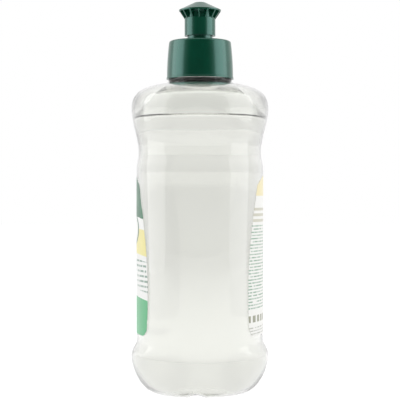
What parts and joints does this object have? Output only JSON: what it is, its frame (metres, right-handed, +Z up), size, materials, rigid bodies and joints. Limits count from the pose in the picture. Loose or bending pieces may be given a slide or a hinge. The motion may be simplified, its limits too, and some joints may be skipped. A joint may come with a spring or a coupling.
{
  "type": "dish soap bottle",
  "caption": "Clear oval squeeze bottle of dish soap with finger grips, two labels, a screw closure and a push-pull spout.",
  "frame": {"origin": "middle of the standing ring, on the plane that the bottle stands on", "axes": "+Z up along the bottle's height; Y through the two labels, the front label facing -Y; X along the bottle's width, through its finger grips and parting line"},
  "size_m": [0.0772, 0.0674, 0.1903],
  "materials": {
    "clear_pet": "clear glossy blow-moulded PET",
    "clear_soap": "clear colourless liquid",
    "label_film": "printed glossy film",
    "green_pp": "dark green moulded polypropylene, semi-gloss"
  },
  "bodies": {
    "bottle": {"bottle": "clear_pet", "soap": "clear_soap", "front_label": "label_film", "back_label": "label_film"},
    "closure": {"closure": "green_pp"},
    "spout": {"spout": "green_pp"}
  },
  "joints": [
    {"name": "closure_lift", "type": "slide", "parent": "bottle", "child": "closure", "axis": [0, 0, 1], "range_m": [0, 0.03]},
    {"name": "spout_pull", "type": "slide", "parent": "closure", "child": "spout", "axis": [0, 0, 1], "range_m": [0, 0.0045]}
  ]
}
